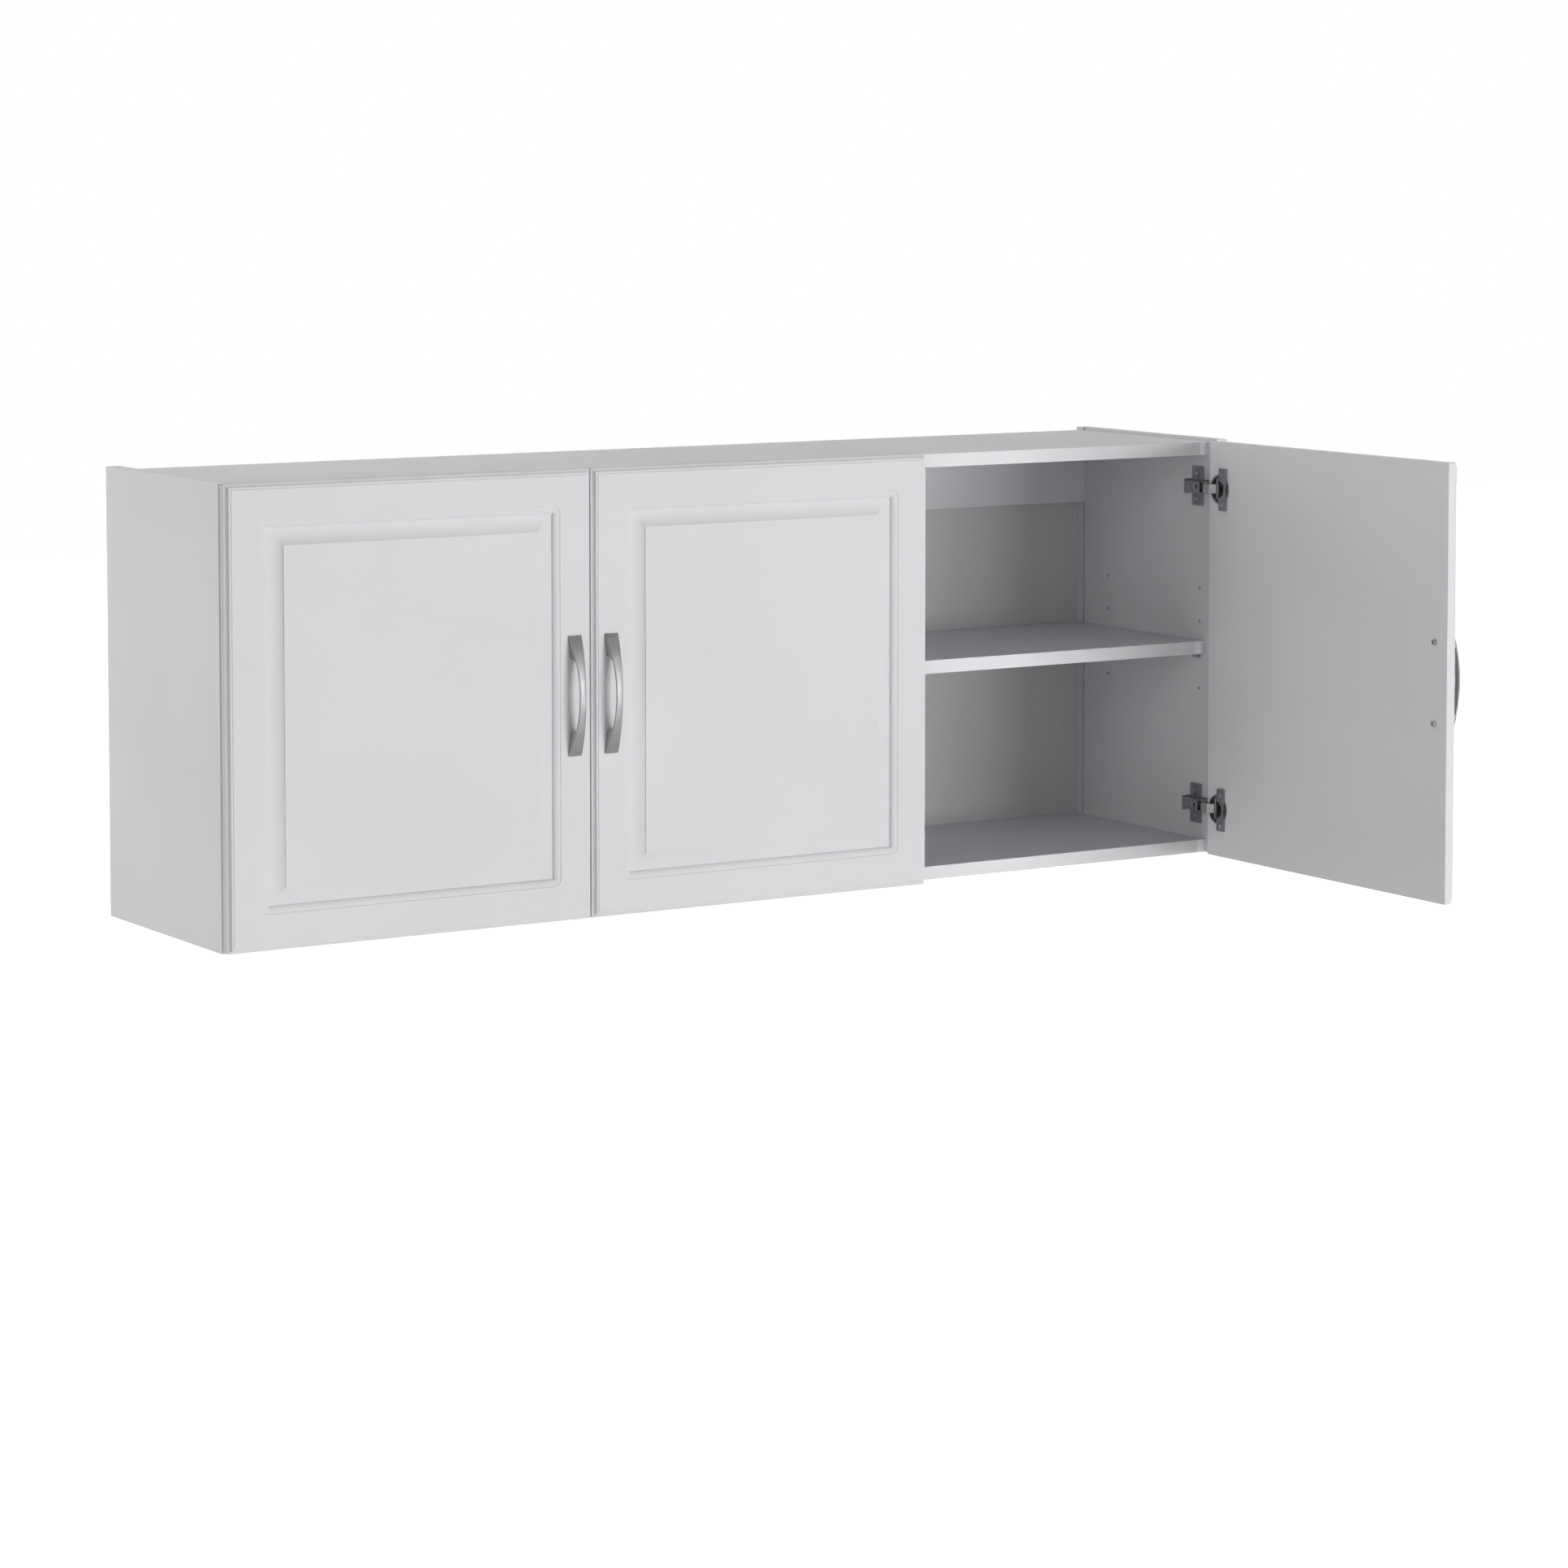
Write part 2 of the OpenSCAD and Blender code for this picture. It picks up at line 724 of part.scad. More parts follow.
hinge_cups(RIGHT);  // hinge_cups_right
cup_pins(LEFT);  // cup_pins_left
cup_pins(MIDDLE);  // cup_pins_middle
cup_pins(RIGHT);  // cup_pins_right
cup_screws(LEFT);  // cup_screws_left
cup_screws(MIDDLE);  // cup_screws_middle
cup_screws(RIGHT);  // cup_screws_right
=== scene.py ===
# %% [markdown]
# # A hanging wall cabinet with moulded doors
#
# The design model already holds every board, hinge and screw at its real size, and this script
# gives it its looks. Boards and hinge pieces keep their shapes and get finishes. The doors, the
# handles and the screws that show are remade with softer edges, because a real moulding or a
# cast handle has no knife edges, and light on the rounded edges is what makes them look solid.

# %% Load the model
import json
import math

import bmesh
import bpy
from mathutils import Euler, Matrix, Vector

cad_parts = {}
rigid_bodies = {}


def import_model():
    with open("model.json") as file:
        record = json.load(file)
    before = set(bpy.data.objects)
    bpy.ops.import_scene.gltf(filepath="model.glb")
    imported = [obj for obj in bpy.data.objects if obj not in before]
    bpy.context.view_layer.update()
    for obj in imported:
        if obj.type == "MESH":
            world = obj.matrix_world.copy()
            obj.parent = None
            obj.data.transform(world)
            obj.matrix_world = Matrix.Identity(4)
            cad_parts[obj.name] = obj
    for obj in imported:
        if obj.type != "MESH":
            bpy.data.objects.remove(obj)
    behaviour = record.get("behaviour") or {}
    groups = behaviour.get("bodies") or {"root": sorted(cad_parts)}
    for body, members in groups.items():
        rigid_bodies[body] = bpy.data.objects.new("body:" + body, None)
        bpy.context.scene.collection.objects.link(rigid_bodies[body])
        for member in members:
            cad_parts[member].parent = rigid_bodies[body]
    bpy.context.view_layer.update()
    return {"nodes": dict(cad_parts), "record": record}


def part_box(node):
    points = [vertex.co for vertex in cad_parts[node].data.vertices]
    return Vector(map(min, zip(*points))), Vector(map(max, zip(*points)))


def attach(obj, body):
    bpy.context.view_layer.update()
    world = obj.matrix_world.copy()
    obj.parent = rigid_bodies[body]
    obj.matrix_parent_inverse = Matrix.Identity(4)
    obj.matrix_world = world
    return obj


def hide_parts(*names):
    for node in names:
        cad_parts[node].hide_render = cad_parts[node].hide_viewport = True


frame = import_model()
nodes = frame["nodes"]
MM = 0.001
DOORS = ("left", "middle", "right")

# %% [markdown]
# ## Colours and nodes
#
# A Blender material is a tree of nodes. One function adds a node, sets its options and connects
# its inputs, so that each finish below reads as a short recipe. Colours are written as the hex
# values a painter would quote, and one function turns them into the linear values light needs.

# %% Colour and node helpers
def linear(hex_value):
    """An sRGB hex colour as linear red, green, blue and alpha."""
    channels = [int(hex_value[i:i + 2], 16) / 255 for i in (0, 2, 4)]
    return [c / 12.92 if c <= 0.04045 else ((c + 0.055) / 1.055) ** 2.4 for c in channels] + [1.0]


def add_node(tree, kind, options=None, inputs=None):
    """Adds a node. An input's value is either a number or another node's output."""
    made = tree.nodes.new(kind)
    for name, value in (options or {}).items():
        setattr(made, name, value)
    for name, value in (inputs or {}).items():
        if isinstance(value, bpy.types.NodeSocket):
            tree.links.new(value, made.inputs[name])
        else:
            made.inputs[name].default_value = value
    return made


print("mid grey as light:", [round(c, 3) for c in linear("808080")])

# %% [markdown]
# ## One recipe for every finish
#
# Real surfaces vary in two ways. The colour drifts slowly, over a hand's width or more, and a
# much finer grain breaks up the shine and stands a few hundredths of a millimetre out of the
# surface. So every finish is made from two fields of soft noise: a cloud that moves the colour
# between a darker and a lighter shade, and a grain that moves the roughness and tilts the
# shading. Both read the piece's own coordinates, so that they stay on it when it moves.

# %% Finish recipe
EVEN = (1.0, 1.0, 1.0)
NOISE_LOW = 0.3
NOISE_HIGH = 0.7


def make_finish(name, shades, cloud, grain, rough, relief, metallic=0.0, ior=None):
    """A material from its shades (dark, light), roughness (low, high) and relief (mm, strength).

    cloud and grain are (size across in mm, detail, scale along x, y and z). A scale under one
    draws the noise out along that direction. A surface with one roughness and no relief has no
    grain.
    """
    material = bpy.data.materials.new(name)
    material.use_nodes = True
    tree = material.node_tree
    shader = tree.nodes["Principled BSDF"]
    shader.inputs["Roughness"].default_value = rough[0]
    shader.inputs["Metallic"].default_value = metallic
    if ior is not None:
        shader.inputs["IOR"].default_value = ior
    place = add_node(tree, "ShaderNodeTexCoord").outputs["Object"]
    fields = []
    for size_mm, detail, scale in filter(None, (cloud, grain)):
        moved = add_node(tree, "ShaderNodeMapping", inputs={"Vector": place, "Scale": scale})
        field = add_node(tree, "ShaderNodeTexNoise", inputs={
            "Vector": moved.outputs["Vector"], "Scale": 1 / (size_mm * MM), "Detail": detail})
        fields.append(field.outputs["Fac"])
    ramp = add_node(tree, "ShaderNodeValToRGB", inputs={"Fac": fields[0]})
    for i, position in enumerate((NOISE_LOW, NOISE_HIGH)):
        ramp.color_ramp.elements[i].position = position
        ramp.color_ramp.elements[i].color = linear(shades[i])
    tree.links.new(ramp.outputs["Color"], shader.inputs["Base Color"])
    if rough[0] != rough[1]:
        spread = add_node(tree, "ShaderNodeMapRange", inputs={
            "Value": fields[1], "From Min": NOISE_LOW, "From Max": NOISE_HIGH,
            "To Min": rough[0], "To Max": rough[1]})
        tree.links.new(spread.outputs["Result"], shader.inputs["Roughness"])
    if relief:
        tilt = add_node(tree, "ShaderNodeBump", inputs={
            "Height": fields[1], "Distance": relief[0] * MM, "Strength": relief[1]})
        tree.links.new(tilt.outputs["Normal"], shader.inputs["Normal"])
    return material


finishes = {}
print("recipe ready, finishes so far:", len(finishes))

# %% [markdown]
# ## Door finish: foil-wrapped MDF
#
# The doors are routed MDF with a thin vinyl foil drawn over them in a press. The foil gives an
# even, warm grey-white with a satin sheen and hardly any grain: only a faint orange peel about
# two millimetres across, which is drawn a little coarser than life so that it shows at all.

# %% Door foil
finishes["door_paint"] = make_finish(
    "foil_wrapped_mdf", shades=("E3E1E4", "E7E5E8"), cloud=(260, 2.0, EVEN), grain=(2.2, 2.0, EVEN),
    rough=(0.52, 0.6), relief=(0.05, 0.25), ior=1.45)
print("made", finishes["door_paint"].name)

# %% [markdown]
# ## Board finish: melamine-faced particle board
#
# The carcass boards are particle board with a melamine paper pressed on. The press plate leaves
# a fine pearl texture, so highlights are broad and slightly broken. The pearls are drawn about a
# millimetre across, coarser than life, so that they show. The front edges carry an edge band of
# smoother plastic. Every surface that faces the front is also painted a lighter shade, a painted
# highlight for the light those edges catch: the material finds them by asking which way it faces.

# %% Melamine board
finishes["board_melamine"] = make_finish(
    "melamine_board", shades=("D3D2D5", "D8D7DA"), cloud=(180, 3.0, EVEN), grain=(1.1, 2.0, EVEN),
    rough=(0.44, 0.58), relief=(0.06, 0.35), ior=1.5)

# %% Edge band
# A lighter shade on front-facing surfaces: a painted highlight for the light they catch
PAINTED_LIGHT_BAND_SHADE = "DFDEE1"
BAND_ROUGH = 0.36
FRONT_LIMIT = -0.9


def add_edge_band_and_painted_light(material):
    """Where the surface faces the front, the band's roughness and a lighter colour, a painted
    highlight, take over.
    """
    tree = material.node_tree
    shader = tree.nodes["Principled BSDF"]
    normal = add_node(tree, "ShaderNodeNewGeometry").outputs["Normal"]
    facing = add_node(tree, "ShaderNodeSeparateXYZ", inputs={"Vector": normal}).outputs["Y"]
    is_front_facing = add_node(tree, "ShaderNodeMath", {"operation": "LESS_THAN"},
                       {0: facing, 1: FRONT_LIMIT}).outputs[0]
    colour, rough = shader.inputs["Base Color"], shader.inputs["Roughness"]
    # This mix paints the lighter highlight colour onto the front-facing surfaces
    mixed = add_node(tree, "ShaderNodeMix", {"data_type": "RGBA"}, {
        0: is_front_facing, 6: colour.links[0].from_socket, 7: linear(PAINTED_LIGHT_BAND_SHADE)})
    tree.links.new(mixed.outputs[2], colour)
    mixed = add_node(tree, "ShaderNodeMix", {"data_type": "FLOAT"}, {
        0: is_front_facing, 2: rough.links[0].from_socket, 3: BAND_ROUGH})
    tree.links.new(mixed.outputs[0], rough)


add_edge_band_and_painted_light(finishes["board_melamine"])
print("made", finishes["board_melamine"].name)

# %% [markdown]
# ## Back panels: printed hardboard
#
# The thin backs are hardboard with a printed paper face: flatter in colour and duller than the
# boards, with the faint fibre mottle of the board underneath.

# %% Hardboard
FIBRE = (3.5, 5.0, EVEN)
finishes["back_board"] = make_finish(
    "printed_hardboard", shades=("CDCCCE", "D2D1D3"), cloud=FIBRE, grain=FIBRE,
    rough=(0.58, 0.7), relief=(0.08, 0.3), ior=1.45)
print("made", finishes["back_board"].name)

# %% [markdown]
# ## Metals
#
# Five metals differ mostly in how they were finished. The handles are zinc castings plated with
# nickel and brushed along their length, so their grain is drawn out along the bow. The hinge
# stampings have a dark tumbled nickel. The links are bright zinc. Screws, pins and nails are
# zinc plated, and the cam locks are bare die castings. Real brushing and tumbling marks are about
# a tenth of a millimetre wide, and all are drawn coarser so that they show. A metal's colour is
# its reflection's tint, so the metallic value is one.

# %% Plated metals
PLATING_PATCH = (14, 2.0, EVEN)
METAL_DETAIL = 4.0
METAL_RELIEF = 0.3
# For each: name, dark and light shade, roughness from and to, grain in mm, its scale, depth in mm
METALS = {
    "satin_nickel": ("brushed_nickel", "A6A5A7", "B2B1B3", 0.48, 0.6, 0.5, (1.0, 1.0, 0.03), 0.02),
    "dark_nickel": ("tumbled_dark_nickel", "98989B", "AAAAAD", 0.36, 0.52, 1.6, EVEN, 0.04),
    "bright_zinc": ("bright_zinc_plate", "B4B4B6", "BEBEC0", 0.5, 0.58, 0.6, (1.0, 1.0, 0.2), 0.008),
    "zinc_steel": ("zinc_plated_steel", "A6A6A8", "BEBEC0", 0.26, 0.44, 1.2, EVEN, 0.03),
    "cast_zinc": ("die_cast_zinc", "A2A2A4", "B2B2B4", 0.4, 0.58, 1.0, EVEN, 0.05),
}
for slot, (name, dark, light, rough_low, rough_high, grain_mm, scale, depth_mm) in METALS.items():
    finishes[slot] = make_finish(
        name, shades=(dark, light), cloud=PLATING_PATCH, grain=(grain_mm, METAL_DETAIL, scale),
        rough=(rough_low, rough_high), relief=(depth_mm, METAL_RELIEF), metallic=1.0)
    print("made", name)

# %% [markdown]
# ## Dowels: turned beech
#
# The dowels are bare beech. It is pale brown, dull from the cutter, and has short darker flecks
# that run along the dowel, from side to side of the cabinet.

# %% Beech
FLECK = (1.5, 4.0, (0.15, 1.0, 1.0))
finishes["beech"] = make_finish(
    "turned_beech", shades=("B48C5E", "CFAF82"), cloud=FLECK, grain=FLECK,
    rough=(0.6, 0.6), relief=(0.1, 0.4), ior=1.45)
print("made", finishes["beech"].name)

# %% Give each design piece its finish
for entry in frame["record"]["subparts"]:
    for material_slot in nodes[entry["node"]].material_slots:
        material_slot.material = finishes[entry["material_slot"]]
print("finishes:", len(finishes))

# %% [markdown]
# ## Where each door hangs
#
# All three doors are the same piece. It is made once in its own small frame: the hinge edge at
# x = 0, the free edge towards -x, the inner face at y = 0 and the middle of its height at z = 0.
# A matrix then hangs it on the left (mirrored), in the middle, or open at the right.

# %% Door places
def door_matrix(place):
    low, high = (Vector(corner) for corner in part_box(f"door_{place}"))
    middle_z = (low.z + high.z) / 2
    if place == "left":
        return Matrix.Translation((low.x, high.y, middle_z)) @ Matrix.Scale(-1, 4, (1, 0, 0))
    if place == "middle":
        return Matrix.Translation((high.x, high.y, middle_z))
    return Matrix.Translation((low.x, high.y, middle_z)) @ Matrix.Rotation(math.pi / 2, 4, "Z")


closed_low, closed_high = (Vector(corner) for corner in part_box("door_middle"))
DOOR_W = closed_high.x - closed_low.x
DOOR_T = closed_high.y - closed_low.y
DOOR_H = closed_high.z - closed_low.z
print("door:", [round(v / MM, 1) for v in (DOOR_W, DOOR_T, DOOR_H)], "mm")

# %% [markdown]
# ## Working on meshes
#
# Four small helpers do what every remade piece needs: put it in the scene in place of design
# pieces, choose which edges stay crisp, turn a new skin the right way out, and turn modifiers
# into plain mesh.

# %% Mesh helpers
WELD = 0.001 * MM


def make_piece(name, mesh, slot, body, replaced):
    """Puts a mesh in the scene as a piece that rides on a body and stands for CAD nodes."""
    piece = bpy.data.objects.new(name, mesh)
    bpy.context.scene.collection.objects.link(piece)
    if not mesh.materials:
        mesh.materials.append(finishes[slot])
    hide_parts(*replaced)
    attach(piece, body)
    return piece


def soften(mesh, angle_deg):
    """Smooth shading everywhere except across edges sharper than the angle."""
    limit = math.radians(angle_deg)
    shaped = bmesh.new()
    shaped.from_mesh(mesh)
    for face in shaped.faces:
        face.smooth = True
    for edge in shaped.edges:
        edge.smooth = len(edge.link_faces) == 2 and edge.calc_face_angle(0) < limit
    shaped.to_mesh(mesh)
    shaped.free()


def turn_out(mesh):
    """Merges doubles and makes every face point outwards."""
    shaped = bmesh.new()
    shaped.from_mesh(mesh)
    bmesh.ops.remove_doubles(shaped, verts=shaped.verts, dist=WELD)
    bmesh.ops.dissolve_degenerate(shaped, edges=shaped.edges, dist=WELD)
    bmesh.ops.recalc_face_normals(shaped, faces=shaped.faces)
    shaped.to_mesh(mesh)
    shaped.free()


def bake_modifiers(source):
    """The object's mesh with its modifiers applied. The source is removed."""
    bpy.context.view_layer.update()
    depsgraph = bpy.context.evaluated_depsgraph_get()
    mesh = bpy.data.meshes.new_from_object(source.evaluated_get(depsgraph))
    bpy.data.objects.remove(source)
    return mesh


print("points closer than", WELD, "m are merged")

# %% [markdown]
# ## A moulded door from rings
#
# A router leaves the same section all the way round a door, so the door can be lofted: each step
# of the section is one closed ring, a rectangle at some distance in from the edge and at some
# height. A round cutter can't leave a sharp outside line, so the moulding's outer rings have
# rounded corners, and the radius shrinks with each step inwards until the centre field's corners
# are sharp. Joining each ring to the next makes the whole front, edge and back in one skin.

# %% Sizes of the door's edge
FACE = DOOR_T
# Edges are broken slightly, and a narrow strip beside each keeps the flats' shading flat
ARRIS = 0.5 * MM
ARRIS_MIDDLE = 0.15 * MM
GUARD = 0.6 * MM
# The cove: an arc centred a little outside the door's edge
EDGE_COVE_R = 5 * MM
EDGE_COVE_OUT = 1 * MM
COVE_STEPS = 8
# The flat behind the cove, and the step from it up to the face, by their distances in
EDGE_STEP = 0.9 * MM
FLAT_FROM = 4.3 * MM
FLAT_TO = 5.7 * MM
FLAT_LIFT = 0.12 * MM
STEP_FOOT = 6.0 * MM
STEP_TURN = 6.75 * MM
STEP_TOP = 6.95 * MM
FACE_DROP = 0.1 * MM

# %% Sizes of the sunk moulding
FRAME_W = 41 * MM
MOULD_DEPTH = 4.8 * MM
# The quirk is the small step beside the frame, and these are distances in from the frame
FRAME_TURN = 0.15 * MM
QUIRK = 0.8 * MM
QUIRK_FOOT = 0.8 * MM
QUIRK_END = 1.3 * MM
ROUND_FROM = 1.5 * MM
# A quarter round falls to a flat bed, and a hollow rises to the centre field
ROUND_W = 7.5 * MM
BED_W = 4 * MM
BED_EASE = 0.3 * MM
RISE_W = 15 * MM
CURVE_STEPS = 12
# The centre field's edge is eased over this width, through one point a little below the face
FIELD_EASE = 0.3 * MM
FIELD_TURN = 0.08 * MM
FIELD_DROP = 0.12 * MM


# %% Door section
def edge_steps():
    """The section from the back, round the edge and up to the face."""
    flat = FACE - EDGE_STEP
    start = -math.acos(EDGE_COVE_OUT / EDGE_COVE_R)
    side_end = flat + EDGE_COVE_R * math.sin(start)
    steps = [(ARRIS + GUARD, 0.0), (ARRIS, 0.0), (ARRIS_MIDDLE, ARRIS_MIDDLE), (0.0, ARRIS)]
    steps += [(0.0, ARRIS + GUARD), (0.0, side_end - GUARD)]
    for i in range(COVE_STEPS + 1):
        angle = start * (1 - i / COVE_STEPS)
        steps.append((-EDGE_COVE_OUT + EDGE_COVE_R * math.cos(angle),
                      flat + EDGE_COVE_R * math.sin(angle)))
    steps += [(FLAT_FROM, flat + FLAT_LIFT), (FLAT_TO, flat + FLAT_LIFT), (STEP_FOOT, flat)]
    steps += [(STEP_TURN, FACE - FACE_DROP), (STEP_TOP, FACE), (STEP_TOP + GUARD, FACE)]
    return steps


def moulding_steps():
    """The section from the face, down through the moulding and up to the centre field."""
    top = FACE - QUIRK
    bed = FACE - MOULD_DEPTH
    fall = top - bed
    steps = [(FRAME_W - GUARD, FACE), (FRAME_W, FACE), (FRAME_W + FRAME_TURN, FACE - FACE_DROP)]
    steps += [(FRAME_W + QUIRK_FOOT, top), (FRAME_W + QUIRK_END, top)]
    round_start = FRAME_W + ROUND_FROM
    for i in range(CURVE_STEPS + 1):
        angle = math.radians(90 * i / CURVE_STEPS)
        steps.append((round_start + ROUND_W * math.sin(angle), top - fall * (1 - math.cos(angle))))
    bed_start = round_start + ROUND_W
    rise_start = bed_start + BED_W
    steps += [(bed_start + BED_EASE, bed), (rise_start - GUARD, bed)]
    turn = 2 * math.atan(fall / RISE_W)
    rise_r = RISE_W / math.sin(turn)
    for i in range(CURVE_STEPS + 1):
        angle = turn * i / CURVE_STEPS
        steps.append((rise_start + rise_r * math.sin(angle), bed + rise_r * (1 - math.cos(angle))))
    field = rise_start + RISE_W
    steps += [(field + FIELD_TURN, FACE - FIELD_DROP), (field + FIELD_EASE, FACE)]
    steps.append((field + FIELD_EASE + GUARD, FACE))
    return steps


door_section = edge_steps() + moulding_steps()
print("rings in a door:", len(door_section))

# %% Rings
CORNER_STEPS = 6
MOULD_CORNER_R = 8.5 * MM
SHARP_R = 0.002 * MM
EDGE_CORNER_R = 1.2 * MM
EDGE_CORNER_FALL = 0.15
EDGE_CORNER_MIN_R = 0.3 * MM


def corner_radius(inset):
    """Radius of a ring's corners at that distance in from the edge."""
    if inset < FRAME_W / 2:
        return max(EDGE_CORNER_R - inset * EDGE_CORNER_FALL, EDGE_CORNER_MIN_R)
    return max(MOULD_CORNER_R - (inset - FRAME_W), SHARP_R)


def ring_points(inset, height):
    """One ring of the door: a rectangle with rounded corners."""
    corner_r = corner_radius(inset)
    half_w = DOOR_W / 2 - inset - corner_r
    half_h = DOOR_H / 2 - inset - corner_r
    points = []
    for quarter in range(4):
        sign_x = 1 if quarter in (0, 3) else -1
        sign_z = 1 if quarter in (0, 1) else -1
        for i in range(CORNER_STEPS + 1):
            angle = math.pi / 2 * (quarter + i / CORNER_STEPS)
            x = sign_x * half_w + corner_r * math.cos(angle) - DOOR_W / 2
            z = sign_z * half_h + corner_r * math.sin(angle)
            points.append((x, -height, z))
    return points


def add_rings(shaped, rings):
    """Skins a list of rings and closes both ends."""
    loops = [[shaped.verts.new(point) for point in ring] for ring in rings]
    count = len(loops[0])
    for below, above in zip(loops, loops[1:]):
        for i in range(count):
            j = (i + 1) % count
            shaped.faces.new((below[i], below[j], above[j], above[i]))
    shaped.faces.new(list(reversed(loops[0])))
    shaped.faces.new(loops[-1])


print("points in a ring:", 4 * (CORNER_STEPS + 1))

# %% [markdown]
# ## Bores in the door's back
#
# The hinge cups, their screws and the handle's screws sit in bores. Their places come from the
# design pieces that fill them: each separate solid of such a node marks the middle of one bore.
# A boolean modifier cuts them all at once, and its result becomes the door's plain mesh.

# %% Where the bores are
# Distance of a hinge cup's middle from the door's hinge edge
CUP_INSET = 21 * MM
# Radius and depth of each kind of bore. The handle's screws pass right through the door
BORES = {
    "hinge_cups": (17.5 * MM, 13 * MM),
    "cup_screws": (1.6 * MM, 11 * MM),
    "handle_screws": (2.25 * MM, DOOR_T + MM),
}


def islands(node):
    """The separate solids of a CAD node, as (low corner, high corner) pairs at rest."""
    shaped = bmesh.new()
    shaped.from_mesh(nodes[node].data)
    bmesh.ops.remove_doubles(shaped, verts=shaped.verts, dist=WELD)
    waiting = set(shaped.verts)
    found = []
    while waiting:
        stack = [waiting.pop()]
        group = []
        while stack:
            vert = stack.pop()
            group.append(vert.co.copy())
            for edge in vert.link_edges:
                other = edge.other_vert(vert)
                if other in waiting:
                    waiting.remove(other)
                    stack.append(other)
        found.append((Vector(map(min, *group)), Vector(map(max, *group))))
    shaped.free()
    return sorted(found, key=lambda pair: (pair[0].z, pair[0].x))


def door_bores():
    """Each bore as (x, z, radius, depth) in the door's own frame, read from the middle door."""
    to_own_frame = door_matrix("middle").inverted()
    bores = []
    for family, (radius, depth) in BORES.items():
        for low, high in islands(f"{family}_middle"):
            middle = to_own_frame @ ((low + high) / 2)
            if family == "hinge_cups":
                middle.x = -CUP_INSET
            bores.append((middle.x, middle.z, radius, depth))
    return bores


print("bores in a door:", len(door_bores()))

# %% Loft the door and bore it
BORE_SIDES = 48
OVERCUT = 1 * MM
DOOR_CREASE_DEG = 24


def make_cutter():
    """One object that holds a cylinder for every bore. Each starts a little behind the door."""
    cut = bmesh.new()
    turn = Matrix.Rotation(math.pi / 2, 4, "X")
    for x, z, radius, depth in door_bores():
        length = depth + OVERCUT
        spot = Matrix.Translation((x, OVERCUT - length / 2, z)) @ turn
        bmesh.ops.create_cone(cut, cap_ends=True, segments=BORE_SIDES, radius1=radius,
                              radius2=radius, depth=length, matrix=spot)
    mesh = bpy.data.meshes.new("bores")
    cut.to_mesh(mesh)
    cut.free()
    cutter = bpy.data.objects.new("bores_source", mesh)
    bpy.context.scene.collection.objects.link(cutter)
    return cutter


def make_door_mesh():
    """The door in its own frame: a skin over its rings, less its bores."""
    shaped = bmesh.new()
    add_rings(shaped, [ring_points(inset, height) for inset, height in door_section])
    mesh = bpy.data.meshes.new("door")
    shaped.to_mesh(mesh)
    shaped.free()
    turn_out(mesh)
    door = bpy.data.objects.new("door_source", mesh)
    bpy.context.scene.collection.objects.link(door)
    cutter = make_cutter()
    modifier = door.modifiers.new("bores", "BOOLEAN")
    modifier.operation = "DIFFERENCE"
    modifier.solver = "EXACT"
    modifier.object = cutter
    bored = bake_modifiers(door)
    bpy.data.objects.remove(cutter)
    return bored


# %% Hang the doors
door_mesh = make_door_mesh()
for place in DOORS:
    mesh = door_mesh.copy()
    mesh.transform(door_matrix(place))
    if place == "left":
        mesh.flip_normals()
    soften(mesh, DOOR_CREASE_DEG)
    make_piece(f"moulded_door_{place}", mesh, "door_paint", f"door_{place}", [f"door_{place}"])
print("door triangles:", sum(len(p.vertices) - 2 for p in door_mesh.polygons))

# %% [markdown]
# ## A bow handle
#
# The handle is a cast bow: wedge-shaped feet that run out to a thin end, a thin arched strap
# between them, and a waist where the fingers close. Its shape follows three simple curves: how
# far the outside stands out, how far the inside stands out, and how wide it is. Stations along
# its length carry an eight-point section with a slightly crowned outside, and a bevel then
# rounds the long edges as casting does.

# %% Handle sizes
handle_low, handle_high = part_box("handle_middle")
HANDLE_L = handle_high[2] - handle_low[2]
HANDLE_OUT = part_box("door_middle")[0][1] - handle_low[1]
HANDLE_W = handle_high[0] - handle_low[0]
WAIST_W = 7.7 * MM
STRAP_T = 2.5 * MM
END_H = 1.2 * MM
FOOT_L = 25.5 * MM
# Over this length the handle's inside leaves the door and rises to the strap, steeply at first
HOLLOW_L = 4.5 * MM
HOLLOW_POWER = 0.6
CROWN = 0.35 * MM
FOOT_STEPS = 8
HOLLOW_STEPS = 5
STRAP_STEPS = 14
print("handle:", [round(v / MM, 1) for v in (HANDLE_L, HANDLE_W, HANDLE_OUT)], "mm")


# %% Handle curves
def falling_arc(x, reach, peak, end):
    """Height at x of a round arc that is peak high in the middle and end high at reach."""
    fall = peak - end
    radius = (reach ** 2 + fall ** 2) / (2 * fall)
    return peak - radius + math.sqrt(radius ** 2 - x ** 2)


def handle_station(z):
    """The section at z: half width, inner height and outer height."""
    half = HANDLE_L / 2
    foot = half - FOOT_L
    outer = falling_arc(z, half, HANDLE_OUT, END_H)
    half_w = HANDLE_W / 2 + WAIST_W / 2 - falling_arc(z, half, HANDLE_W / 2, WAIST_W / 2)
    distance = abs(z)
    inner = outer - STRAP_T
    if distance > foot - HOLLOW_L:
        inner *= max(0.0, (foot - distance) / HOLLOW_L) ** HOLLOW_POWER
    return half_w, inner, outer


